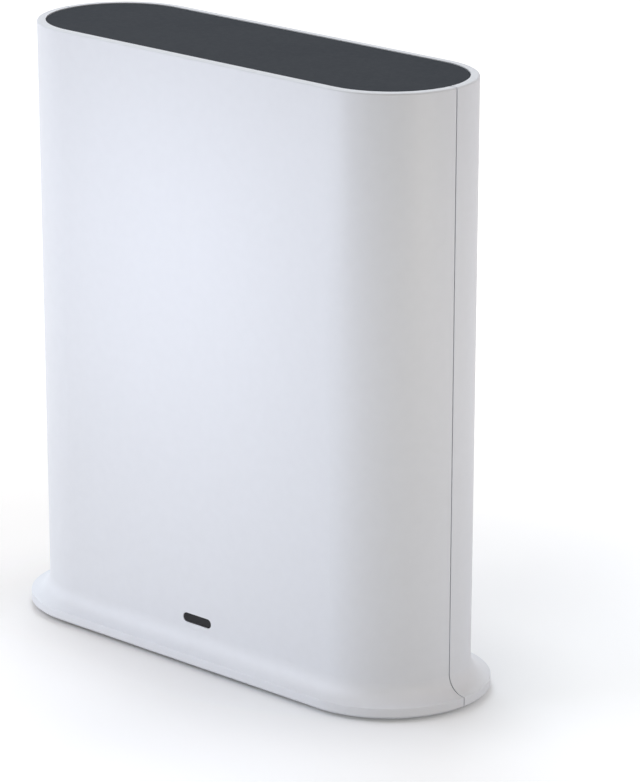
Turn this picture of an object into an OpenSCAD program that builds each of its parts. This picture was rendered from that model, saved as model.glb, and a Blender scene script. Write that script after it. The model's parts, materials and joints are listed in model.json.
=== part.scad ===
// Base station for wireless security cameras: a slim tower with round ends that stands on a flared foot.
// Two moulded shells meet on a seam at the ends, a dark panel closes the top and a plate closes the foot.
// X is the width, the front faces -Y, Z is up, and the origin is on the table under the middle.

/* [Housing] */
// Height of the rim above the table
body_h = 147; // [135:1:165]
// Width of the housing at the rim
body_w = 128; // [120:1:145]
// Depth of the housing at the rim, which is also the diameter of its round ends
body_d = 40.5; // [38:0.5:46]
// How far each side draws in between the rim and the table
side_draft = 0.8; // [0:0.1:1.4]
// Thickness of the shell walls
wall = 2.1; // [1.8:0.1:2.4]
// Rounding of the outer edge of the rim
rim_round = 0.5; // [0.3:0.1:1.4]

/* [Foot] */
// How far the foot reaches out past the outline of the rim
foot_reach = 3.95; // [3:0.05:6]
// Height of the upper corner of the foot above the table
foot_top = 3.5; // [3.4:0.1:5]
// Rounding of that corner
foot_round = 0.15; // [0.1:0.05:0.8]
// Bevel along the lower edge of the foot
foot_bevel = 0.5; // [0.1:0.1:0.6]
// Width of the rim of the foot around the base plate
foot_wall = 1.3; // [1:0.1:1.8]
// Gap between the housing and the table
floor_gap = 1; // [0.6:0.1:1.6]

/* [Seam] */
// Width of the line between the two shells
seam_gap = 0.35; // [0.15:0.05:0.4]
// How far the lip of the front shell reaches into the rear shell
lip_reach = 2; // [1.4:0.1:3]
// Clearance between the lip and its rebate
lip_gap = 0.1; // [0.05:0.05:0.2]
// How far the lip stands in from the inside of the wall
lip_proud = 0.4; // [0.2:0.1:0.8]
// Distance of the upper end of the lip from the rim
lip_top_gap = 6; // [5:0.5:12]
// Distance of the lower end of the lip from the flare
lip_foot_gap = 2; // [1:0.5:6]

/* [Top panel] */
// Depth of the panel below the rim
panel_recess = 0.15; // [0.1:0.05:1.2]
// Thickness of the panel
panel_t = 1.8; // [1.4:0.1:2.4]
// Gap between the panel and the shells
panel_gap = 0.12; // [0.08:0.02:0.3]
// Bevel along the upper edge of the panel
panel_bevel = 0.1; // [0.1:0.05:0.5]
// Width of the ledge that carries the panel
ledge_w = 1.3; // [1:0.1:1.8]
// Thickness of that ledge
ledge_t = 1.5; // [1:0.1:2]
// Distance of the panel hooks from the middle
hook_x = 28; // [18:1:36]
// Width of a hook
hook_w = 7; // [5:0.5:10]
// Thickness of a hook
hook_t = 1.2; // [0.8:0.1:1.6]
// Clearance of a hook to the ledge
hook_gap = 0.2; // [0.1:0.05:0.3]
// Reach of the barb under the ledge
barb_reach = 0.8; // [0.5:0.1:1]
// Height of the barb
barb_h = 1.6; // [1.2:0.1:2.4]

/* [Base] */
// Thickness of the edge of the base plate
plate_edge_t = 1.4; // [1.1:0.1:1.5]
// Thickness of the raised middle of the base plate
plate_mid_t = 3; // [2.8:0.1:3.6]
// Gap between the base plate and the shells
plate_gap = 0.15; // [0.1:0.05:0.3]
// Gap between the raised middle and the walls
plate_mid_gap = 0.6; // [0.4:0.1:1.2]
// Diameter of a rubber foot
pad_d = 11; // [9:0.5:12]
// Depth of the recess that holds a rubber foot
pad_sink = 0.8; // [0.5:0.1:0.9]
// Clearance round a rubber foot
pad_gap = 0.1; // [0.05:0.05:0.2]
// Bevel round the lower edge of a rubber foot
pad_bevel = 0.4; // [0.2:0.1:0.5]
// Distance of the feet and base screws from the middle, along the width
pad_x = 41; // [36:1:46]
// Distance of the feet and base screws from the middle, along the depth
pad_y = 9.5; // [9:0.25:10]
// Number of air slots in the base plate
base_slots = 9; // [5:2:13]
// Length of an air slot in the base plate
base_slot_l = 18; // [12:1:22]

/* [Air slots] */
// Width of an air slot
slot_w = 2; // [1.4:0.1:2.4]
// Distance between the middles of two air slots
slot_pitch = 5; // [4.5:0.25:5.5]
// Number of air slots in the rear shell
rear_slots = 13; // [7:2:15]
// Length of an air slot in the rear shell
rear_slot_l = 20; // [14:1:28]
// Height of the middle of the rear slots
rear_slot_z = 112; // [100:1:116]

/* [Status light] */
// Height of the middle of the window
led_z = 10.5; // [10.5:0.25:14]
// Width of the window
led_w = 9.2; // [7:0.2:10]
// Height of the window
led_h = 2.2; // [2:0.1:3]
// Depth of the window below the front of the shell
led_sink = 0.1; // [0.05:0.05:0.3]
// Clearance round the window and the light pipe
led_gap = 0.08; // [0.05:0.01:0.12]
// Reach of the window's flange past its face, all round
led_flange = 1; // [0.8:0.1:1.2]
// Thickness of that flange
led_flange_t = 1; // [0.8:0.1:1.4]
// Depth of the seat in the wall that takes that flange
led_seat = 0.4; // [0.2:0.1:0.6]
// Wall of the sleeve that holds the light pipe
sleeve_wall = 1.2; // [0.8:0.1:1.4]
// Length of that sleeve
sleeve_l = 9; // [6:0.5:11]
// Diameter of the light pipe behind its sleeve
pipe_d = 4; // [3.4:0.1:4.2]
// Size of the light-emitting diode, square
diode_w = 3.2; // [2.6:0.1:3.4]
// Height of the diode's case above the board
diode_t = 1.2; // [0.8:0.1:1.6]
// Diameter of the diode's lens
diode_lens_d = 2.2; // [1.6:0.1:2.4]
// Height of that lens
diode_lens_t = 0.5; // [0.3:0.1:0.7]
// Gap between the light pipe and the diode's lens
diode_gap = 0.3; // [0.2:0.05:0.5]

/* [Main board] */
// Thickness of the board
board_t = 1.6; // [1.2:0.2:2]
// Distance of the board's side edges from the sides of the housing
board_side_gap = 12; // [11:0.5:14]
// Height of the board's lower edge
board_z = 8; // [7:0.5:8.5]
// Distance of the board's upper edge from the rim
board_top_gap = 25; // [20:1:26]
// Rounding of the board's corners
board_round = 2.5; // [1:0.5:4]
// Distance of the board screws from the board's side and upper edges
board_screw_inset = 6; // [4:0.5:7]

/* [Ports] */
// Height of the middle of the ports
port_z = 26; // [24:0.5:32]
// Depth of the port faces below the rear of the shell
port_sink = 0.4; // [0.2:0.1:0.8]
// Height of the ports above the board
port_l = 14.4; // [13.6:0.1:15]
// Clearance of a port in its cut-out
port_gap = 0.25; // [0.15:0.05:0.4]
// Place of the network jack along the width
net_x = 12; // [9:1:16]
// Width of the network jack
net_w = 16; // [15.5:0.1:17]
// Height of the network jack
net_h = 13.4; // [13:0.1:15]
// Width of its mouth
net_mouth_w = 11.9; // [11.7:0.1:12.5]
// Height of its mouth
net_mouth_h = 6.9; // [6.7:0.1:7.4]
// Width of the notch for the plug's latch
latch_w = 6.4; // [6:0.1:7]
// Height of the notch for the plug's latch
latch_h = 2.2; // [1.8:0.1:2.4]
// Depth of the mouth
net_mouth_l = 12; // [11.5:0.1:12.6]
// Number of contacts in the network jack
net_contacts = 8; // [4:2:8]
// Distance between two contacts
contact_pitch = 1.02; // [0.9:0.02:1.2]
// Width of a contact
contact_w = 0.4; // [0.3:0.05:0.5]
// Thickness of a contact
contact_t = 0.3; // [0.25:0.05:0.4]
// How far a contact springs into the mouth
contact_drop = 2.4; // [1.6:0.1:3]
// Clearance of the contacts to the mouth
contact_gap = 0.05; // [0.02:0.01:0.1]
// Place of the storage socket along the width
usb_x = -12; // [-14:1:-8]
// Width of the storage socket
usb_w = 13.1; // [12.9:0.1:13.5]
// Height of the storage socket
usb_h = 5.7; // [5.6:0.1:6.2]
// Thickness of its sheet metal
usb_wall = 0.35; // [0.3:0.05:0.4]
// Rounding of its outer corners
usb_round = 0.7; // [0.6:0.05:1]
// Width of its tongue
tongue_w = 11.1; // [10.8:0.1:11.4]
// Thickness of its tongue
tongue_t = 1.8; // [1.6:0.1:2]
// Length of its tongue
tongue_l = 8.6; // [8:0.1:9]
// Clearance of the tongue's block in the sheet metal
tongue_gap = 0.05; // [0.02:0.01:0.1]
// Distance of the two inner contacts of the storage socket from its middle
usb_inner_x = 1; // [0.9:0.05:1.2]
// Distance of the two outer contacts from its middle
usb_outer_x = 3.5; // [3.2:0.1:3.8]
// Width of one of these contacts
usb_contact_w = 1; // [0.8:0.1:1.2]
// Length of one of these contacts
usb_contact_l = 6.4; // [5.5:0.1:7]
// Thickness of one of these contacts
usb_contact_t = 0.2; // [0.15:0.05:0.3]
// Place of the power jack along the width
dc_x = 32; // [29:1:36]
// Width of the power jack's block, square
dc_w = 10; // [9.4:0.1:11]
// Diameter of the power jack's nose
dc_nose_d = 8.2; // [7.8:0.1:8.8]
// Diameter of the plug's barrel that fits the jack
dc_plug_d = 5.5; // [4.8:0.1:6]
// Clearance round that barrel
dc_plug_gap = 0.2; // [0.1:0.05:0.3]
// Depth of the power jack
dc_depth = 10; // [9:0.1:11]
// Diameter of the centre pin
dc_pin_d = 2; // [1.6:0.1:2.5]
// Depth of the tip of the centre pin below the jack's face
dc_pin_sink = 1; // [0.5:0.1:2]

/* [Buttons] */
// Place of the sync button along the width
sync_x = -32; // [-35:0.5:-29]
// Diameter of the sync button
sync_d = 8; // [7:0.25:9]
// How far the sync button stands out of the shell
sync_proud = 0.7; // [0.5:0.1:1]
// How far the sync button travels
sync_travel = 0.35; // [0.2:0.05:0.4]
// Clearance of the sync button in its hole
sync_gap = 0.1; // [0.06:0.01:0.1]
// Bevel round the sync button
sync_bevel = 0.4; // [0.2:0.1:0.5]
// Width of the rim of the sync button round its dish
sync_rim = 0.6; // [0.4:0.1:1]
// Depth of that dish
sync_dish = 0.3; // [0.2:0.05:0.4]
// Reach of the sync button's collar past its cap
sync_flange = 1.2; // [0.8:0.1:1.4]
// Thickness of that collar
sync_flange_t = 1.2; // [0.8:0.1:1.6]
// Diameter of the sync button's stem
sync_stem_d = 4; // [3.4:0.1:4.6]
// Wall of the guide that holds the collar
guide_wall = 1.2; // [0.8:0.1:1.6]
// Length of that guide
guide_l = 4; // [3:0.25:5]
// Place of the reset hole along the width
reset_x = -43; // [-45:0.5:-42]
// Diameter of the reset hole
reset_hole_d = 1.8; // [1.4:0.1:2.2]
// How far the reset switch travels
reset_travel = 0.25; // [0.15:0.05:0.3]
// Width of a switch, square
switch_w = 6; // [5.6:0.1:6.4]
// Height of a switch above the board
switch_t = 3.6; // [3.2:0.1:4.2]
// Thickness of the floor under a plunger
switch_floor = 0.8; // [0.6:0.1:1]
// Diameter of a plunger
plunger_d = 3.4; // [3:0.1:3.6]
// How far a plunger stands out of its switch
plunger_proud = 1.4; // [1:0.1:2]
// Clearance of a plunger in its switch
plunger_gap = 0.1; // [0.06:0.01:0.1]
// Gap left under a plunger that is pressed home
plunger_end_gap = 0.1; // [0.05:0.05:0.2]

/* [Chips and cooling] */
// Width of the processor, square
cpu_w = 17; // [14:0.5:20]
// Thickness of the processor
cpu_t = 1.4; // [1:0.1:2]
// Height of the middle of the processor
cpu_z = 66; // [62:1:70]
// Thickness of the thermal pad
thermal_t = 0.8; // [0.5:0.1:1.2]
// Width of the heat sink, square
sink_w = 40; // [34:1:42]
// Thickness of the heat sink's base
sink_base_t = 2.4; // [2:0.1:3]
// Height of the heat sink's fins
fin_h = 7; // [5:0.5:8]
// Thickness of a fin
fin_t = 1.2; // [1:0.1:1.5]
// Number of fins
fins = 9; // [6:1:10]
// Width of the memory chip
memory_w = 9; // [8:0.5:11]
// Height of the memory chip
memory_h = 14; // [12:0.5:15]
// Thickness of the memory chip
memory_t = 1.1; // [0.8:0.1:1.4]
// Place of the memory chip along the width
memory_x = 32; // [30:1:38]
// Width of the radio shield
shield_w = 34; // [30:1:38]
// Height of the radio shield
shield_h = 22; // [18:1:24]
// Depth of the radio shield
shield_t = 2.6; // [2:0.1:3.2]
// Thickness of its sheet metal
shield_wall = 0.3; // [0.25:0.05:0.4]
// Height of the middle of the radio shield
shield_z = 106; // [103:1:108]
// Width of the network transformer
coil_w = 12.7; // [11:0.1:14]
// Height of the network transformer
coil_h = 9.5; // [8:0.1:11]
// Thickness of the network transformer
coil_t = 5.8; // [4:0.1:6.5]
// Height of the middle of the network transformer
coil_z = 30; // [28:0.5:33]
// Diameter of a power capacitor
cap_d = 6.3; // [5:0.1:7]
// Height of a power capacitor above the board
cap_l = 7.7; // [6:0.1:9]
// Distance between two power capacitors
cap_pitch = 8.5; // [7.5:0.25:9]
// Number of power capacitors
caps = 2; // [1:1:2]
// Width of the power inductor, square
choke_w = 8; // [7:0.1:9]
// Thickness of the power inductor
choke_t = 4; // [3:0.1:5]
// Height of the middle of the power inductor
choke_z = 40; // [37:0.5:42]

/* [Antennas] */
// Width of an antenna strip
antenna_w = 12; // [9:0.5:14]
// Height of an antenna strip
antenna_h = 38; // [30:1:44]
// Thickness of an antenna strip
antenna_t = 0.6; // [0.4:0.1:1]
// Distance of the antenna strips from the middle
antenna_x = 34; // [32:1:38]
// Height of the middle of an antenna strip
antenna_z = 108; // [100:1:112]
// Gap between an antenna strip and the shell
antenna_gap = 0.05; // [0.02:0.01:0.1]
// Diameter of an antenna lead
lead_d = 1.3; // [1:0.1:1.6]
// Radius of the bend in an antenna lead
lead_bend = 4; // [3:0.25:5]
// Length of an antenna lead that lies on its strip
lead_lap = 5; // [3:0.5:8]
// Distance of the antenna plugs below the strips
aerial_plug_drop = 6; // [5:0.5:9]
// Diameter of an antenna plug
aerial_plug_d = 3; // [2.6:0.1:3.6]
// Height of an antenna plug
aerial_plug_t = 2; // [1.8:0.1:2.4]

/* [Fasteners] */
// Diameter of a screw's thread
screw_d = 2.5; // [2.2:0.1:2.8]
// Length of a screw under its head
screw_l = 8; // [6:0.5:9]
// Diameter of a screw's head
head_d = 4.6; // [4.2:0.1:5]
// Height of a screw's head
head_t = 1.1; // [0.9:0.1:1.2]
// Clearance of a screw in the piece that it holds
hole_gap = 0.2; // [0.1:0.05:0.3]
// Clearance of a screw in its boss
thread_gap = 0.05; // [0.03:0.01:0.1]
// Clearance of a screw's head in its recess
head_gap = 0.2; // [0.1:0.05:0.3]
// Diameter of a screw boss
boss_d = 6; // [5.4:0.1:6.6]
// Depth of a boss's hole past the tip of its screw
boss_spare = 1; // [0.5:0.1:1.5]
// Length of a boss past the end of its hole
boss_end = 1.5; // [1:0.1:2.5]
// Gap between a base boss and the board boss above it
boss_gap = 0.6; // [0.4:0.1:2]
// Thickness of the web that ties a base boss to its wall
web_t = 1.6; // [1.2:0.1:2]

/* [Hidden] */
$fn = 64;

// A cut runs past the surface that it opens by this much
past = 1;

// The outline of the housing: a straight run between two round ends, and a side that leans with its draft
straight = body_w - body_d;
function side_r(z) = body_d / 2 - side_draft * (body_h - z) / body_h;
function inner_r(z) = side_r(z) - wall;
draft_angle = atan(side_draft / body_h);

// The foot and the quarter-round hollow that runs up from it, which crosses the side on a clean edge
flare_cut = 0.005;
foot_r = body_d / 2 + foot_reach;
flare_c = foot_r - foot_round;
side_to_flare = foot_reach - foot_round + side_draft * (body_h - foot_top) / body_h;
flare_rise = side_to_flare / (1 + side_draft / body_h);
flare_z = foot_top + flare_rise;
flare_r = flare_rise + flare_cut;

// The top panel and its ledge
panel_top = body_h - panel_recess;
panel_z = panel_top - panel_t;
panel_r = inner_r(panel_z) - panel_gap;
ledge_z = panel_z - ledge_t;
lip_zs = [flare_z + lip_foot_gap, body_h - lip_top_gap];

// The base plate
plate_seat = floor_gap + plate_edge_t;
plate_top = floor_gap + plate_mid_t;
plate_r = foot_r - foot_wall - plate_gap;
plate_mid_r = inner_r(0) - plate_mid_gap;
pad_top = floor_gap + pad_sink;
base_head_z = pad_top + head_t;
base_boss_l = screw_l + boss_spare + boss_end - (plate_top - base_head_z);

// The ports set the place of the board, and the board sets the place of what it carries
port_y = side_r(port_z) - port_sink;
port_wall_y = inner_r(port_z);
board_rear = port_y - port_l;
board_front = board_rear - board_t;
board_w = body_w - 2 * board_side_gap;
board_top = body_h - board_top_gap;
board_screw_x = board_w / 2 - board_screw_inset;
board_screw_zs = [plate_top + base_boss_l + boss_gap + boss_d / 2, board_top - board_screw_inset];
net_mouth_z = port_z + latch_h / 2;
tongue_tip_y = port_y - 1.5 * usb_wall;
tongue_root_y = tongue_tip_y - tongue_l;
tongue_under_z = port_z + usb_h / 2 - usb_wall - tongue_gap - tongue_t;

// The status light, from the window in the front back to the diode on the board
led_front = led_sink - side_r(led_z);
led_seat_y = -inner_r(led_z) - led_seat;
led_inner = led_seat_y + led_gap;
pipe_front = led_inner + led_flange_t;
sleeve_end = sleeve_l - inner_r(led_z);
diode_front = board_front - diode_t - diode_lens_t;

// The sync button, from its cap outside to the plunger that it presses
sync_cap_y = side_r(port_z) + sync_proud;
sync_collar_y = port_wall_y - sync_gap;
switch_top = board_rear + switch_t;
plunger_top = switch_top + plunger_proud;

// The antenna strips lie on the front wall, and their leads run to plugs on the board
antenna_y = antenna_gap - inner_r(antenna_z);
antenna_foot = antenna_z - antenna_h / 2;
aerial_plug_z = antenna_foot - aerial_plug_drop;

// A 2-D outline with straight sides and round ends
module stadium(r) {
    square([straight, 2 * r], center = true);
    for (side = [-1, 1]) translate([side * straight / 2, 0]) circle(r);
}

// A 2-D slot with round ends, w wide and h high
module pill(w, h) {
    square([w - h, h], center = true);
    for (side = [-1, 1]) translate([side * (w - h) / 2, 0]) circle(d = h);
}

// A 2-D rectangle with round corners
module round_rect(w, h, r) {
    square([w - 2 * r, h], center = true);
    square([w, h - 2 * r], center = true);
    for (x = [-1, 1], y = [-1, 1]) translate([x * (w / 2 - r), y * (h / 2 - r)]) circle(r);
}

// The corner that a round of radius r takes off, with its middle at the round's centre
module corner_cut(r) {
    difference() {
        square(2 * r);
        circle(r);
    }
}

// A 2-D shape in X and Z carried from y0 to y1
module along_y(y0, y1) translate([0, y1, 0]) rotate([90, 0, 0]) linear_extrude(y1 - y0) children();

// A round shape about Y at x and z, from a profile in radius and y
module turned_y(x, z) translate([x, 0, z]) rotate([-90, 0, 0]) rotate_extrude() children();

// A profile in radius and height, carried round the front half of the housing
module front_sweep() {
    for (side = [-1, 1]) {
        translate([side * straight / 2, 0, 0])
            rotate([0, 0, side < 0 ? 180 : 270])
                rotate_extrude(angle = 90) children();
    }
    translate([straight / 2, 0, 0]) rotate([90, 0, -90]) linear_extrude(straight) children();
}

// The same profile, carried round both round ends only
module end_sweep() {
    for (side = [-1, 1]) {
        translate([side * straight / 2, 0, 0])
            rotate([0, 0, side < 0 ? 90 : -90])
                rotate_extrude(angle = 180) children();
    }
}

// A profile in radius and height, carried round a whole slab with round ends
module slab_sweep() {
    end_sweep() children();
    translate([straight / 2, 0, 0])
        rotate([90, 0, -90])
            linear_extrude(straight)
                for (side = [0, 1]) mirror([side, 0]) children();
}

// Everything between two depths
module depth_band(y0, y1) translate([-body_w, y0, -past]) cube([2 * body_w, y1 - y0, body_h + 2 * past]);

// The outside of the housing: side, flare and foot
module outer_profile() {
    difference() {
        union() {
            polygon([
                [0, floor_gap],
                [side_r(floor_gap), floor_gap],
                [side_r(body_h), body_h],
                [0, body_h]
            ]);
            polygon([
                [0, floor_gap],
                [foot_r - foot_bevel, floor_gap],
                [foot_r, floor_gap + foot_bevel],
                [foot_r, foot_top],
                [0, foot_top]
            ]);
            difference() {
                translate([0, foot_top]) square([flare_c, flare_rise]);
                translate([flare_c, flare_z]) circle(flare_r);
            }
        }
        translate([flare_c, foot_top - foot_round]) corner_cut(foot_round);
        translate([side_r(body_h) - rim_round, body_h - rim_round]) corner_cut(rim_round);
    }
}

// The space inside: it follows the side and the flare, and ends below in the pocket of the base plate
module cavity_profile() {
    polygon([[0, 0], [inner_r(0), 0], [inner_r(body_h + past), body_h + past], [0, body_h + past]]);
    difference() {
        translate([0, plate_seat]) square([flare_c, flare_z - plate_seat]);
        translate([flare_c, flare_z]) circle(flare_r + wall);
    }
    square([foot_r - foot_wall, plate_seat]);
}

// The wall of a shell, with the ledge for the top panel
module shell_profile() {
    difference() {
        outer_profile();
        cavity_profile();
    }
    translate([inner_r(ledge_z) - ledge_w, ledge_z]) square([ledge_w + wall / 2, ledge_t]);
}

// A band along the lip, between two depths below the outside of the wall
module lap_profile(outer, inner) {
    polygon([
        [side_r(lip_zs[0]) - inner, lip_zs[0]],
        [side_r(lip_zs[0]) - outer, lip_zs[0]],
        [side_r(lip_zs[1]) - outer, lip_zs[1]],
        [side_r(lip_zs[1]) - inner, lip_zs[1]]
    ]);
}

// Boss for a base screw, tied to the front wall by a web
module base_boss(x) {
    difference() {
        union() {
            translate([x, -pad_y, plate_top]) cylinder(d = boss_d, h = base_boss_l);
            translate([x - web_t / 2, -side_r(0) + wall / 2, plate_top])
                cube([web_t, side_r(0) - wall / 2 - pad_y, base_boss_l]);
        }
        translate([x, -pad_y, plate_top - past])
            cylinder(d = screw_d + 2 * thread_gap, h = base_boss_l - boss_end + past);
    }
}

// One screw about Z, with the underside of its head at zero and its tip up
module screw() {
    tip = screw_d / 4;
    rotate_extrude()
        polygon([
            [0, -head_t],
            [head_d / 2 - tip, -head_t],
            [head_d / 2, tip - head_t],
            [head_d / 2, 0],
            [screw_d / 2, 0],
            [screw_d / 2, screw_l - tip],
            [screw_d / 2 - tip, screw_l],
            [0, screw_l]
        ]);
}

// The lip of the front shell at both ends, which bridges the seam behind its outer line
module lip() {
    intersection() {
        end_sweep() lap_profile((wall + lip_gap) / 2, wall + lip_proud);
        depth_band(-lip_reach, lip_reach);
    }
}

// The sleeve round the light pipe, or the space in it, grown by an amount
module sleeve_pill(grow) {
    translate([0, led_z]) pill(led_w + 2 * (led_gap + grow), led_h + 2 * (led_gap + grow));
}

module front_shell() {
    color("#E8EBF0") {
        difference() {
            union() {
                difference() {
                    front_sweep() shell_profile();
                    depth_band(-seam_gap / 2, past);
                }
                lip();
                along_y(-inner_r(led_z) - wall / 2, sleeve_end) sleeve_pill(led_flange + sleeve_wall);
            }
            along_y(-foot_r, sleeve_end + past) sleeve_pill(0);
            along_y(led_seat_y, sleeve_end + past) sleeve_pill(led_flange);
        }
        for (side = [-1, 1]) base_boss(side * pad_x);
    }
}

// The cut-outs in the rear wall for the ports, the button, the reset hole and the air slots
module rear_cuts() {
    along_y(port_wall_y - past, foot_r) {
        translate([net_x, port_z]) square([net_w + 2 * port_gap, net_h + 2 * port_gap], center = true);
        translate([usb_x, port_z])
            round_rect(usb_w + 2 * port_gap, usb_h + 2 * port_gap, usb_round + port_gap);
        translate([dc_x, port_z]) circle(d = dc_nose_d + 2 * port_gap);
        translate([sync_x, port_z]) circle(d = sync_d + 2 * sync_gap);
        translate([reset_x, port_z]) circle(d = reset_hole_d);
    }
    along_y(body_d / 4, foot_r)
        for (i = [0 : rear_slots - 1])
            translate([(i - (rear_slots - 1) / 2) * slot_pitch, rear_slot_z])
                rotate(90) pill(rear_slot_l, slot_w);
}

// Boss for a board screw, from the rear wall to the board
module board_boss(x, z) {
    hole_l = screw_l - board_t + boss_spare;
    difference() {
        along_y(board_rear, side_r(z) - wall / 2) translate([x, z]) circle(d = boss_d);
        along_y(board_rear - past, board_rear + hole_l)
            translate([x, z]) circle(d = screw_d + 2 * thread_gap);
    }
}

module rear_shell() {
    color("#E8EBF0") {
        difference() {
            mirror([0, 1, 0]) front_sweep() shell_profile();
            depth_band(-past, seam_gap / 2);
            intersection() {
                end_sweep() lap_profile((wall - lip_gap) / 2, wall + past);
                depth_band(-past, lip_reach + lip_gap);
            }
            rear_cuts();
        }
        for (side = [-1, 1]) {
            mirror([0, 1, 0]) base_boss(side * pad_x);
            for (z = board_screw_zs) board_boss(side * board_screw_x, z);
        }
        along_y(port_wall_y - guide_l, port_wall_y + wall / 2)
            translate([sync_x, port_z])
                difference() {
                    circle(d = sync_d + 2 * (sync_flange + sync_gap + guide_wall));
                    circle(d = sync_d + 2 * (sync_flange + sync_gap));
                }
    }
}

module top_panel() {
    hook_y = inner_r(ledge_z) - ledge_w - hook_gap;
    barb_z = ledge_z - hook_gap;
    color("#45494C") {
        slab_sweep()
            polygon([
                [0, panel_z],
                [panel_r, panel_z],
                [panel_r, panel_top - panel_bevel],
                [panel_r - panel_bevel, panel_top],
                [0, panel_top]
            ]);
        for (x = [-hook_x, hook_x], side = [0, 1]) {
            mirror([0, side, 0])
                translate([x - hook_w / 2, 0, 0])
                    rotate([90, 0, 90])
                        linear_extrude(hook_w)
                            polygon([
                                [hook_y, panel_z],
                                [hook_y, barb_z],
                                [hook_y + barb_reach, barb_z],
                                [hook_y, barb_z - barb_h],
                                [hook_y - hook_t, barb_z - barb_h],
                                [hook_y - hook_t, panel_z]
                            ]);
        }
    }
}

module base_plate() {
    color("#D5D8DC") {
        difference() {
            union() {
                translate([0, 0, floor_gap]) linear_extrude(plate_edge_t) stadium(plate_r);
                translate([0, 0, floor_gap]) linear_extrude(plate_mid_t) stadium(plate_mid_r);
            }
            for (x = [-pad_x, pad_x], y = [-pad_y, pad_y]) {
                translate([x, y, floor_gap - past]) {
                    cylinder(d = pad_d + 2 * pad_gap, h = pad_sink + past);
                    cylinder(d = head_d + 2 * head_gap, h = base_head_z - floor_gap + past);
                    cylinder(d = screw_d + 2 * hole_gap, h = plate_mid_t + 2 * past);
                }
            }
            translate([0, 0, floor_gap - past])
                linear_extrude(plate_mid_t + 2 * past)
                    for (i = [0 : base_slots - 1])
                        translate([(i - (base_slots - 1) / 2) * slot_pitch, 0])
                            rotate(90) pill(base_slot_l, slot_w);
        }
    }
}

// One of the four rubber feet, counted from the left of the front
module rubber_foot(n) {
    x = n % 2 == 1 ? -pad_x : pad_x;
    y = n <= 2 ? -pad_y : pad_y;
    color("#3A3A3C")
        translate([x, y, 0])
            rotate_extrude()
                polygon([
                    [0, 0],
                    [pad_d / 2 - pad_bevel, 0],
                    [pad_d / 2, pad_bevel],
                    [pad_d / 2, pad_top],
                    [0, pad_top]
                ]);
}

module led_window() {
    color("#38383C") {
        along_y(led_front, led_inner) translate([0, led_z]) pill(led_w, led_h);
        along_y(led_inner, pipe_front)
            translate([0, led_z]) pill(led_w + 2 * led_flange, led_h + 2 * led_flange);
    }
}

module light_pipe() {
    color("#DDE8EC") {
        along_y(pipe_front, sleeve_end)
            translate([0, led_z]) pill(led_w + 2 * led_flange, led_h + 2 * led_flange);
        along_y(sleeve_end, diode_front - diode_gap) translate([0, led_z]) circle(d = pipe_d);
    }
}

module status_led() {
    color("#F2EFE0") {
        along_y(board_front - diode_t, board_front) translate([0, led_z]) square(diode_w, center = true);
        along_y(diode_front, board_front - diode_t) translate([0, led_z]) circle(d = diode_lens_d);
    }
}

module main_board() {
    color("#1F5A3C")
        along_y(board_front, board_rear)
            difference() {
                translate([0, (board_z + board_top) / 2])
                    round_rect(board_w, board_top - board_z, board_round);
                for (x = [-board_screw_x, board_screw_x], z = board_screw_zs)
                    translate([x, z]) circle(d = screw_d + 2 * hole_gap);
            }
}

module ethernet_jack() {
    color("#B9BDC1")
        difference() {
            along_y(board_rear, port_y) translate([net_x, port_z]) square([net_w, net_h], center = true);
            along_y(port_y - net_mouth_l, port_y + past)
                translate([net_x, net_mouth_z]) {
                    square([net_mouth_w, net_mouth_h], center = true);
                    translate([-latch_w / 2, -net_mouth_h / 2 - latch_h]) square([latch_w, latch_h + past]);
                }
        }
}

// The contacts lie along the upper wall of the mouth and fold back into it from near the front
module ethernet_contacts() {
    back = port_y - net_mouth_l + contact_gap;
    front = port_y - net_mouth_l / 6;
    top = net_mouth_z + net_mouth_h / 2 - contact_gap;
    color("#C9A24B")
        for (i = [0 : net_contacts - 1])
            translate([net_x + (i - (net_contacts - 1) / 2) * contact_pitch - contact_w / 2, 0, 0])
                rotate([90, 0, 90])
                    linear_extrude(contact_w)
                        polygon([
                            [back, top],
                            [front, top],
                            [front, top - contact_t],
                            [back + contact_drop, top - contact_drop],
                            [back + contact_drop, top - contact_drop + contact_t],
                            [front - 4 * contact_t, top - contact_t],
                            [back, top - contact_t]
                        ]);
}

module usb_socket() {
    color("#B9BDC1")
        along_y(board_rear, port_y)
            translate([usb_x, port_z])
                difference() {
                    round_rect(usb_w, usb_h, usb_round);
                    round_rect(usb_w - 2 * usb_wall, usb_h - 2 * usb_wall, usb_round - usb_wall);
                }
}

// The block at the back of the storage socket and the tongue that stands out of it
module usb_tongue() {
    inset = usb_wall + tongue_gap;
    color("#F0F0EE") {
        along_y(board_rear, tongue_root_y)
            translate([usb_x, port_z])
                round_rect(usb_w - 2 * inset, usb_h - 2 * inset, usb_round - usb_wall);
        along_y(tongue_root_y, tongue_tip_y)
            translate([usb_x - tongue_w / 2, tongue_under_z]) square([tongue_w, tongue_t]);
    }
}

// The contacts on the underside of the tongue
module usb_contacts() {
    color("#C9A24B")
        along_y(tongue_root_y + contact_gap, tongue_root_y + contact_gap + usb_contact_l)
            for (x = [-usb_outer_x, -usb_inner_x, usb_inner_x, usb_outer_x])
                translate([usb_x + x - usb_contact_w / 2, tongue_under_z - contact_gap - usb_contact_t])
                    square([usb_contact_w, usb_contact_t]);
}

module dc_jack() {
    color("#2B2B2D")
        difference() {
            union() {
                along_y(board_rear, port_wall_y - port_gap)
                    translate([dc_x, port_z]) square(dc_w, center = true);
                along_y(board_rear, port_y) translate([dc_x, port_z]) circle(d = dc_nose_d);
            }
            along_y(port_y - dc_depth, port_y + past)
                translate([dc_x, port_z]) circle(d = dc_plug_d + 2 * dc_plug_gap);
        }
}

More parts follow.
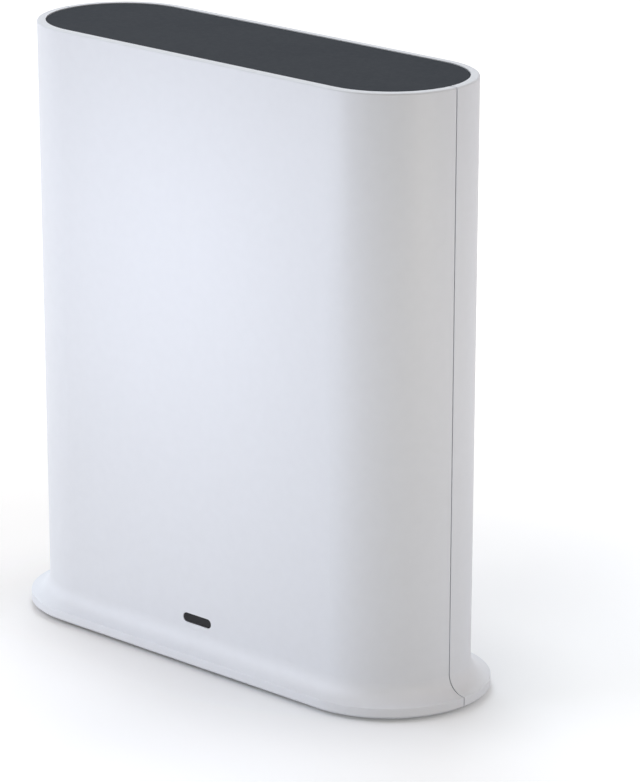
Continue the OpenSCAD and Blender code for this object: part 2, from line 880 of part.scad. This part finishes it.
module dc_pin() {
    color("#C8CBCE")
        turned_y(dc_x, port_z)
            polygon([
                [0, port_y - dc_depth],
                [dc_pin_d / 2, port_y - dc_depth],
                [dc_pin_d / 2, port_y - dc_pin_sink - dc_pin_d / 4],
                [dc_pin_d / 4, port_y - dc_pin_sink],
                [0, port_y - dc_pin_sink]
            ]);
}

module sync_button() {
    collar_r = sync_d / 2 + sync_flange;
    dish_r = sync_d / 2 - sync_bevel - sync_rim;
    color("#D9DCE1")
        turned_y(sync_x, port_z)
            polygon([
                [0, plunger_top],
                [sync_stem_d / 2, plunger_top],
                [sync_stem_d / 2, sync_collar_y - sync_flange_t],
                [collar_r, sync_collar_y - sync_flange_t],
                [collar_r, sync_collar_y],
                [sync_d / 2, sync_collar_y],
                [sync_d / 2, sync_cap_y - sync_bevel],
                [sync_d / 2 - sync_bevel, sync_cap_y],
                [dish_r, sync_cap_y],
                [dish_r - 2 * sync_dish, sync_cap_y - sync_dish],
                [0, sync_cap_y - sync_dish]
            ]);
}

// A switch on the board, with the bore that guides its plunger
module tact_switch(x) {
    color("#2B2B2D")
        difference() {
            along_y(board_rear, switch_top) translate([x, port_z]) square(switch_w, center = true);
            along_y(board_rear + switch_floor, switch_top + past)
                translate([x, port_z]) circle(d = plunger_d + 2 * plunger_gap);
        }
}

// The plunger of a switch, clear of the switch's floor by its travel
module plunger(x, travel) {
    foot_y = board_rear + switch_floor + travel + plunger_end_gap;
    color("#E4E4E2") along_y(foot_y, plunger_top) translate([x, port_z]) circle(d = plunger_d);
}

// A block on the front of the board
module front_block(x, z, w, h, near, far) {
    along_y(board_front - far, board_front - near) translate([x, z]) square([w, h], center = true);
}

module processor() color("#2A2C2E") front_block(0, cpu_z, cpu_w, cpu_w, 0, cpu_t);

module thermal_pad() color("#8FA7B8") front_block(0, cpu_z, cpu_w, cpu_w, cpu_t, cpu_t + thermal_t);

module heat_sink() {
    base_y = cpu_t + thermal_t;
    fin_step = (sink_w - fin_t) / (fins - 1);
    color("#A9ADB2") {
        front_block(0, cpu_z, sink_w, sink_w, base_y, base_y + sink_base_t);
        for (i = [0 : fins - 1])
            front_block(
                (i - (fins - 1) / 2) * fin_step, cpu_z, fin_t, sink_w,
                base_y + sink_base_t, base_y + sink_base_t + fin_h
            );
    }
}

module memory_chip() color("#2A2C2E") front_block(memory_x, cpu_z, memory_w, memory_h, 0, memory_t);

module radio_shield() {
    inside = 2 * shield_wall;
    color("#B9BDC1")
        difference() {
            front_block(0, shield_z, shield_w, shield_h, 0, shield_t);
            front_block(0, shield_z, shield_w - inside, shield_h - inside, -past, shield_t - shield_wall);
        }
}

module ethernet_transformer() color("#2A2C2E") front_block(net_x, coil_z, coil_w, coil_h, 0, coil_t);

module power_capacitors() {
    color("#9EA3A8")
        along_y(board_front - cap_l, board_front)
            for (i = [0 : caps - 1])
                translate([dc_x + (i - (caps - 1) / 2) * cap_pitch, port_z]) circle(d = cap_d);
}

module power_inductor() color("#4A4C50") front_block(dc_x, choke_z, choke_w, choke_w, 0, choke_t);

// A strip that lies on the inside of the front wall and leans with it
module antenna(side) {
    color("#B87333")
        translate([side * antenna_x, antenna_y, antenna_z])
            rotate([draft_angle, 0, 0])
                translate([-antenna_w / 2, 0, -antenna_h / 2]) cube([antenna_w, antenna_t, antenna_h]);
}

// A lead that runs down the face of an antenna strip and turns back to its plug
module antenna_lead(side) {
    lean = sin(draft_angle) * antenna_h / 2;
    lead_y = antenna_y + antenna_t + lean + antenna_gap + lead_d / 2;
    run_l = board_front - aerial_plug_t - lead_y - lead_bend;
    color("#2E2E30")
        translate([side * antenna_x, lead_y, aerial_plug_z]) {
            translate([0, 0, lead_bend]) cylinder(d = lead_d, h = aerial_plug_drop + lead_lap - lead_bend);
            translate([0, lead_bend, lead_bend])
                rotate([90, 0, 90])
                    rotate([0, 0, 180])
                        rotate_extrude(angle = 90) translate([lead_bend, 0]) circle(d = lead_d);
            translate([0, lead_bend, 0]) rotate([-90, 0, 0]) cylinder(d = lead_d, h = run_l);
        }
}

module antenna_plugs() {
    color("#C9A24B")
        along_y(board_front - aerial_plug_t, board_front)
            for (side = [-1, 1]) translate([side * antenna_x, aerial_plug_z]) circle(d = aerial_plug_d);
}

module board_screws() {
    color("#8D9196")
        for (x = [-board_screw_x, board_screw_x], z = board_screw_zs)
            translate([x, board_front, z]) rotate([-90, 0, 0]) screw();
}

module base_screws() {
    color("#8D9196")
        for (x = [-pad_x, pad_x], y = [-pad_y, pad_y]) translate([x, y, base_head_z]) screw();
}

front_shell();
rear_shell();
top_panel();
base_plate();
rubber_foot(1);  // rubber_foot_1
rubber_foot(2);  // rubber_foot_2
rubber_foot(3);  // rubber_foot_3
rubber_foot(4);  // rubber_foot_4
led_window();
light_pipe();
status_led();
main_board();
ethernet_jack();
ethernet_contacts();
usb_socket();
usb_tongue();
usb_contacts();
dc_jack();
dc_pin();
sync_button();
tact_switch(sync_x);  // sync_switch
plunger(sync_x, sync_travel);  // sync_plunger
tact_switch(reset_x);  // reset_switch
plunger(reset_x, reset_travel);  // reset_plunger
processor();
thermal_pad();
heat_sink();
memory_chip();
radio_shield();
ethernet_transformer();
power_capacitors();
power_inductor();
antenna(-1);  // antenna_left
antenna(1);  // antenna_right
antenna_lead(-1);  // antenna_lead_left
antenna_lead(1);  // antenna_lead_right
antenna_plugs();
board_screws();
base_screws();
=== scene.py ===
import json
import math

import bpy
from mathutils import Matrix, Vector


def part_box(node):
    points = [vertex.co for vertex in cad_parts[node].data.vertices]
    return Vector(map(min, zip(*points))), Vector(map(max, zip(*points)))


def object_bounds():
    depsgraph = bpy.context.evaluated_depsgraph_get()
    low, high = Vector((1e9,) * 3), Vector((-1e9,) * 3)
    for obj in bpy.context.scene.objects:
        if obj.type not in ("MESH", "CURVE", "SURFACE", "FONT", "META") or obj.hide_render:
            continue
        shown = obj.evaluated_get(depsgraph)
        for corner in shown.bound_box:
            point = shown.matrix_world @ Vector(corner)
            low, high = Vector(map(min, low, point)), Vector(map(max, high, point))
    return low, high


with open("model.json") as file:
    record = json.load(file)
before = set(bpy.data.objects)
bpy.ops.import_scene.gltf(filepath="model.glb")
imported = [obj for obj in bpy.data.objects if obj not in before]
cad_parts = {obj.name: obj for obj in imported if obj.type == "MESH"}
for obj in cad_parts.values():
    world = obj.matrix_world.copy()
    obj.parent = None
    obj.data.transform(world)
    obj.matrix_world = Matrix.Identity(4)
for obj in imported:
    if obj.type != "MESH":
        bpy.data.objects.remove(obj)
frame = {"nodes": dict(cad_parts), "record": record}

CAD_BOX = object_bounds()
MM = 0.001
WHITE = (1.0, 1.0, 1.0)

# The photograph's frame and the camera that was fitted to it, aimed beside the middle of the housing
FRAME_W, FRAME_H = 640, 782
FOCAL_PX = 4352.5
CAMERA_AZIMUTH, CAMERA_ELEVATION = 43.82, 16.80
CAMERA_DISTANCE = 1030.1 * MM
AIM_RIGHT, AIM_UP = 15.72 * MM, -9.82 * MM
SENSOR_MM = 36.0
CLIP_START, CLIP_END = 0.01, 50.0

# The lamps: name, place, side of the square box in metres, power in watts and colour
LAMPS = (
    ("front_box", (-0.012, -0.12, 0.11), 0.04, 0.0390, (0.825, 0.862, 1.0)),
    ("low_box", (0.005, -0.14, 0.03), 0.04, 0.0070, (1.0, 1.0, 1.0)),
    ("left_box", (-0.98, -0.56, 0.48), 0.8, 5.15, (0.805, 0.871, 1.0)),
    ("top_box", (-0.45, 0.35, 1.00), 0.5, 4.12, (0.833, 0.915, 1.0)),
    ("right_box", (0.20, -0.02, 0.10), 0.05, 0.0381, (1.0, 0.929, 0.829)),
    ("right_back_box", (0.50, 0.65, 0.45), 0.5, 0.575, (0.869, 0.788, 1.0)),
)
LIT_POINT = Vector((0, 0, 0.07))
AMBIENT_COLOR = (1.0, 0.944, 0.872)
AMBIENT_STRENGTH = 0.405

# The floor's half width, its finish, and its colour from the left to the right of the object: a painted
# tint, warmer at the left and cooler at the right, that offsets the lamps' colours in the floor's shadow
FLOOR_HALF = 4.0
FLOOR_ROUGHNESS, FLOOR_SPECULAR = 0.8, 0.2
FLOOR_PAINTED_LEFT, FLOOR_PAINTED_RIGHT = (0.915, 0.893, 0.868), (0.838, 0.862, 0.890)
PAINTED_TINT_SPAN = (-0.07, 0.07)

# The painted glow of the seen floor, which makes it white away from the object. It goes by the distance
# from the foot's middle line, which runs HALF_RUN to both sides: one rise round the foot, which paints
# the falloff of the shadow there, and one further out.
HALF_RUN = 0.044
NEAR_REACH, NEAR_GLOW = (0.012, 0.057), (0.0, 0.18)
FAR_REACH, FAR_GLOW = (0.04, 0.26), (0.0, 0.42)

# Painted light added to the glow towards the right-hand end, which lightens the shadow there, between
# two places along the width
SIDE_SPAN, SIDE_GLOW = (0.007, 0.074), (0.0, 0.132)

# Detail of the materials: noise scales are in features per metre
TONE_BAND = (0.35, 0.65)
TONE_SCALE = 40.0
GRAINS_PER_GLOSS_PATCH = 6
MOULD_DETAIL, MOULD_DEPTH = 2.0, 0.02 * MM
METAL_GRAIN, METAL_DETAIL = 900.0, 4.0
METAL_BUMP, METAL_DEPTH = 0.06, 0.01 * MM

# The network jack: how deep its shield folds into the mouth, and the step from plating to plastic
SHIELD_FOLD = 0.5 * MM
HALF_WAY, STEP_WIDTH = 0.5, 0.005


def add_node(tree, kind, **values):
    """A new node in a tree, with its inputs or options set by name."""
    node = tree.nodes.new(kind)
    for key, value in values.items():
        if key in node.inputs:
            node.inputs[key].default_value = value
        else:
            setattr(node, key, value)
    return node


def feed(tree, socket, value):
    """Links the output of another node to an input, or sets a plain value there."""
    if isinstance(value, bpy.types.NodeSocket):
        tree.links.new(value, socket)
    else:
        socket.default_value = value


def noise(tree, scale, detail=3.0, stretch=(1, 1, 1)):
    """A noise in object space, with features of about 1 / scale metres, longer along a small stretch."""
    coords = add_node(tree, "ShaderNodeTexCoord")
    mapping = add_node(tree, "ShaderNodeMapping", Scale=stretch)
    texture = add_node(tree, "ShaderNodeTexNoise", Scale=scale, Detail=detail)
    tree.links.new(coords.outputs["Object"], mapping.inputs["Vector"])
    tree.links.new(mapping.outputs["Vector"], texture.inputs["Vector"])
    return texture.outputs["Fac"]


def colors_along(tree, source, *stops):
    """Colours at places from 0 to 1 along a value, blended between them."""
    ramp = add_node(tree, "ShaderNodeValToRGB")
    elements = ramp.color_ramp.elements
    first, *middle, last = stops
    for element, (place, color) in zip(elements, (first, last)):
        element.position = place
        element.color = (*color, 1)
    for place, color in middle:
        elements.new(place).color = (*color, 1)
    tree.links.new(source, ramp.inputs["Fac"])
    return ramp.outputs["Color"]


def remap(tree, source, span, new_span, **options):
    """A value carried from one span to another, and held at its ends."""
    node = add_node(tree, "ShaderNodeMapRange", **options)
    for socket, value in zip(("From Min", "From Max", "To Min", "To Max"), (*span, *new_span)):
        node.inputs[socket].default_value = value
    tree.links.new(source, node.inputs["Value"])
    return node.outputs["Result"]


def combine(tree, operation, first, second):
    """A math node on two values, each the output of another node or a plain number."""
    node = add_node(tree, "ShaderNodeMath", operation=operation)
    for socket, value in zip(node.inputs, (first, second)):
        feed(tree, socket, value)
    return node.outputs["Value"]


def relief(tree, source, strength, depth):
    """A surface normal that follows the height of a noise."""
    bump = add_node(tree, "ShaderNodeBump", Strength=strength, Distance=depth)
    tree.links.new(source, bump.inputs["Height"])
    return bump.outputs["Normal"]


def new_material(name):
    """A node material, its tree and its principled shader."""
    material = bpy.data.materials.new(name)
    material.use_nodes = True
    tree = material.node_tree
    return material, tree, tree.nodes["Principled BSDF"]


def set_inputs(tree, shader, **values):
    """Feeds a shader's inputs by name, with _ for a space."""
    for key, value in values.items():
        feed(tree, shader.inputs[key.replace("_", " ")], value)


def plastic(name, dark, light, rough, grain, bump, patch=TONE_SCALE, **constants):
    """Moulded plastic or rubber: faint patches of tone, uneven gloss and the fine grain of its mould."""
    material, tree, shader = new_material(name)
    set_inputs(
        tree, shader,
        Base_Color=colors_along(tree, noise(tree, patch), (TONE_BAND[0], dark), (TONE_BAND[1], light)),
        Roughness=remap(tree, noise(tree, grain / GRAINS_PER_GLOSS_PATCH), (0, 1), rough),
        Normal=relief(tree, noise(tree, grain, MOULD_DETAIL), bump, MOULD_DEPTH),
        **constants,
    )
    return material


def metal(name, dark, light, rough, stretch=(1, 1, 1)):
    """Plated or extruded metal, with a grain that can run along one axis."""
    material, tree, shader = new_material(name)
    grain = noise(tree, METAL_GRAIN, METAL_DETAIL, stretch)
    set_inputs(
        tree, shader,
        Metallic=1.0,
        Base_Color=colors_along(tree, grain, (0, dark), (1, light)),
        Roughness=remap(tree, grain, (0, 1), rough),
        Normal=relief(tree, grain, METAL_BUMP, METAL_DEPTH),
    )
    return material


def shield_with_insert(name, node, plated, moulded, rough):
    """A plated shield that folds into the mouth of a jack, and the dark plastic insert from there on."""
    material, tree, shader = new_material(name)
    coords = add_node(tree, "ShaderNodeTexCoord")
    axes = add_node(tree, "ShaderNodeSeparateXYZ")
    tree.links.new(coords.outputs["Object"], axes.inputs["Vector"])
    inside = combine(tree, "LESS_THAN", axes.outputs["Y"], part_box(node)[1].y - SHIELD_FOLD)
    # The lower half of this value is plating, and the upper half is plastic
    grain = combine(tree, "ADD", noise(tree, METAL_GRAIN, METAL_DETAIL), inside)
    value = combine(tree, "MULTIPLY", grain, HALF_WAY)
    set_inputs(
        tree, shader,
        Base_Color=colors_along(
            tree, value,
            (0, plated[0]), (HALF_WAY - STEP_WIDTH, plated[1]),
            (HALF_WAY + STEP_WIDTH, moulded[0]), (1, moulded[1]),
        ),
        Metallic=combine(tree, "SUBTRACT", 1.0, inside),
        Roughness=remap(tree, value, (0, 1), rough),
    )
    return material


# Plastics: darkest and lightest tone, span of roughness, scale of the grain and strength of its bump.
# Metals: darkest and lightest tone, span of roughness and stretch of the grain.
SLOT_MATERIALS = {
    "white_shell": plastic(
        "shell_white", (0.790, 0.810, 0.850), (0.800, 0.820, 0.860), (0.40, 0.50), 5000, 0.12, patch=400,
    ),
    "grey_panel": plastic(
        "panel_grey", (0.029, 0.034, 0.042), (0.033, 0.038, 0.046), (0.6, 0.72), 5000, 0.3,
        Specular_IOR_Level=0.048,
    ),
    "base_plastic": plastic(
        "base_plastic", (0.68, 0.69, 0.70), (0.73, 0.74, 0.75), (0.5, 0.62), 3500, 0.4,
    ),
    "foot_rubber": plastic(
        "foot_rubber", (0.035, 0.035, 0.036), (0.055, 0.055, 0.056), (0.7, 0.85), 2500, 0.6,
    ),
    "smoked_lens": plastic(
        "smoked_lens", (0.019, 0.019, 0.021), (0.025, 0.025, 0.028), (0.28, 0.36), 4000, 0.1,
        Specular_IOR_Level=0.18,
    ),
    "clear_plastic": plastic(
        "clear_plastic", (0.86, 0.92, 0.94), (0.9, 0.95, 0.97), (0.06, 0.12), 2500, 0.05,
    ),
    "led_case": plastic(
        "led_case", (0.84, 0.80, 0.62), (0.88, 0.85, 0.70), (0.35, 0.45), 3000, 0.1,
    ),
    "circuit_board": plastic(
        "circuit_board", (0.010, 0.090, 0.045), (0.020, 0.150, 0.075), (0.3, 0.42), 1500, 0.2,
    ),
    "connector_steel": metal(
        "connector_steel", (0.52, 0.53, 0.54), (0.68, 0.69, 0.70), (0.22, 0.36), stretch=(1, 8, 1),
    ),
    "gold_contact": metal(
        "gold_contact", (0.72, 0.48, 0.16), (0.86, 0.64, 0.28), (0.18, 0.3),
    ),
    "connector_plastic": plastic(
        "connector_plastic", (0.76, 0.76, 0.73), (0.82, 0.82, 0.80), (0.4, 0.5), 3000, 0.2,
    ),
    "black_plastic": plastic(
        "black_plastic", (0.018, 0.018, 0.019), (0.030, 0.030, 0.031), (0.4, 0.52), 3000, 0.3,
    ),
    "button_plastic": plastic(
        "button_plastic", (0.68, 0.69, 0.70), (0.72, 0.73, 0.74), (0.36, 0.46), 5000, 0.15,
    ),
    "chip_black": plastic(
        "chip_black", (0.020, 0.021, 0.022), (0.032, 0.033, 0.035), (0.55, 0.7), 4000, 0.4,
    ),
    "thermal_rubber": plastic(
        "thermal_rubber", (0.26, 0.36, 0.44), (0.32, 0.43, 0.51), (0.7, 0.85), 2500, 0.4,
    ),
    "sink_aluminium": metal(
        "sink_aluminium", (0.56, 0.57, 0.59), (0.72, 0.73, 0.75), (0.3, 0.45), stretch=(1, 1, 0.05),
    ),
    "antenna_copper": metal(
        "antenna_copper", (0.55, 0.26, 0.11), (0.70, 0.38, 0.19), (0.25, 0.4),
    ),
    "lead_jacket": plastic(
        "lead_jacket", (0.022, 0.022, 0.023), (0.035, 0.035, 0.036), (0.4, 0.5), 2500, 0.2,
    ),
    "screw_steel": metal(
        "screw_steel", (0.42, 0.43, 0.45), (0.58, 0.59, 0.60), (0.25, 0.4),
    ),
}

# Nodes with a material of their own
NODE_MATERIALS = {
    "ethernet_jack": shield_with_insert(
        "jack_shield", "ethernet_jack",
        plated=((0.52, 0.53, 0.54), (0.68, 0.69, 0.70)),
        moulded=((0.020, 0.020, 0.021), (0.034, 0.034, 0.035)),
        rough=(0.26, 0.56),
    ),
}


def dress_frame():
    """Gives each CAD node its own material, or else the one of its slot."""
    for row in frame["record"]["subparts"]:
        materials = frame["nodes"][row["node"]].data.materials
        materials.clear()
        materials.append(NODE_MATERIALS.get(row["node"], SLOT_MATERIALS[row["material_slot"]]))


def seen_directly(tree):
    """One for rays from the camera and rays that a mirror or glass sends on, and zero for light."""
    path = add_node(tree, "ShaderNodeLightPath")
    seen = path.outputs["Is Camera Ray"]
    for name in ("Is Glossy Ray", "Is Transmission Ray"):
        seen = combine(tree, "MAXIMUM", seen, path.outputs[name])
    return seen


def distance_from_run(tree, place):
    """How far a place on the floor is from the line between the middles of the foot's round ends."""
    steps = (("ABSOLUTE", (0, 0, 0)), ("SUBTRACT", (HALF_RUN, 0, 0)), ("MAXIMUM", (0, 0, 0)))
    for operation, second in steps:
        node = add_node(tree, "ShaderNodeVectorMath", operation=operation)
        tree.links.new(place, node.inputs[0])
        node.inputs[1].default_value = second
        place = node.outputs["Vector"]
    length = add_node(tree, "ShaderNodeVectorMath", operation="LENGTH")
    tree.links.new(place, length.inputs[0])
    return length.outputs["Value"]


def floor_material():
    """Painted warmer at the left and cooler at the right against the lamps' tints, and seen as white
    away from the object by a painted glow, which also paints the falloff of the object's shadow round
    the foot.
    """
    material, tree, shader = new_material("floor_white")
    place = add_node(tree, "ShaderNodeTexCoord").outputs["Object"]
    axes = add_node(tree, "ShaderNodeSeparateXYZ")
    tree.links.new(place, axes.inputs["Vector"])
    across = axes.outputs["X"]
    away = distance_from_run(tree, place)
    # Painted glow: low round the foot, which paints the falloff of its shadow, higher further out, and
    # more towards the right-hand end, which paints the shadow lighter there
    near = remap(tree, away, NEAR_REACH, NEAR_GLOW, interpolation_type="SMOOTHSTEP")
    far = remap(tree, away, FAR_REACH, FAR_GLOW, interpolation_type="SMOOTHSTEP")
    painted_right_glow = remap(tree, across, SIDE_SPAN, SIDE_GLOW, interpolation_type="SMOOTHSTEP")
    painted_glow = combine(tree, "ADD", combine(tree, "ADD", near, far), painted_right_glow)
    # Painted tint: warmer at the left and cooler at the right, against the lamps' colours in the shadow
    painted_tint = remap(tree, across, PAINTED_TINT_SPAN, (0, 1))
    set_inputs(
        tree, shader,
        Base_Color=colors_along(tree, painted_tint, (0, FLOOR_PAINTED_LEFT), (1, FLOOR_PAINTED_RIGHT)),
        Roughness=FLOOR_ROUGHNESS,
        Specular_IOR_Level=FLOOR_SPECULAR,
        Emission_Color=(*WHITE, 1),
        Emission_Strength=combine(tree, "MULTIPLY", painted_glow, seen_directly(tree)),
    )
    return material


def make_floor():
    """A pale floor, which keeps the object's shadow, under a painted tint and glow."""
    corners = [(-1, -1), (1, -1), (1, 1), (-1, 1)]
    mesh = bpy.data.meshes.new("floor")
    mesh.from_pydata([(x * FLOOR_HALF, y * FLOOR_HALF, 0) for x, y in corners], [], [(0, 1, 2, 3)])
    mesh.materials.append(floor_material())
    floor = bpy.data.objects.new("floor", mesh)
    bpy.context.scene.collection.objects.link(floor)


def make_world():
    """Even light from all round, and white wherever it is seen."""
    world = bpy.data.worlds.new("studio")
    bpy.context.scene.world = world
    world.use_nodes = True
    tree = world.node_tree
    light = tree.nodes["Background"]
    set_inputs(tree, light, Color=(*AMBIENT_COLOR, 1), Strength=AMBIENT_STRENGTH)
    white = add_node(tree, "ShaderNodeBackground", Color=(*WHITE, 1))
    mix = add_node(tree, "ShaderNodeMixShader")
    tree.links.new(seen_directly(tree), mix.inputs["Fac"])
    tree.links.new(light.outputs["Background"], mix.inputs[1])
    tree.links.new(white.outputs["Background"], mix.inputs[2])
    tree.links.new(mix.outputs["Shader"], tree.nodes["World Output"].inputs["Surface"])


def make_lamp(name, place, side, power, color):
    """A square soft box at a place, turned to the middle of the housing."""
    data = bpy.data.lights.new(name, "AREA")
    data.size = side
    data.energy = power
    data.color = color
    lamp = bpy.data.objects.new(name, data)
    bpy.context.scene.collection.objects.link(lamp)
    lamp.location = place
    lamp.rotation_mode = "QUATERNION"
    lamp.rotation_quaternion = (LIT_POINT - Vector(place)).to_track_quat("-Z", "Y")
    lamp.visible_camera = False


def make_camera():
    """The camera of the photograph."""
    azimuth, elevation = math.radians(CAMERA_AZIMUTH), math.radians(CAMERA_ELEVATION)
    back = Vector((
        math.sin(azimuth) * math.cos(elevation),
        -math.cos(azimuth) * math.cos(elevation),
        math.sin(elevation),
    ))
    right = Vector((math.cos(azimuth), math.sin(azimuth), 0))
    up = back.cross(right)
    middle = Vector((0, 0, CAD_BOX[1].z / 2))
    eye = middle + AIM_RIGHT * right + AIM_UP * up + CAMERA_DISTANCE * back
    data = bpy.data.cameras.new("camera")
    data.sensor_width = SENSOR_MM
    data.lens = FOCAL_PX * SENSOR_MM / max(FRAME_W, FRAME_H)
    data.clip_start, data.clip_end = CLIP_START, CLIP_END
    camera = bpy.data.objects.new("camera", data)
    bpy.context.scene.collection.objects.link(camera)
    camera.matrix_world = Matrix((
        (right.x, up.x, back.x, eye.x),
        (right.y, up.y, back.y, eye.y),
        (right.z, up.z, back.z, eye.z),
        (0, 0, 0, 1),
    ))
    bpy.context.scene.camera = camera


dress_frame()
make_floor()
make_world()
for lamp in LAMPS:
    make_lamp(*lamp)
make_camera()
bpy.context.scene.view_settings.view_transform = "Standard"
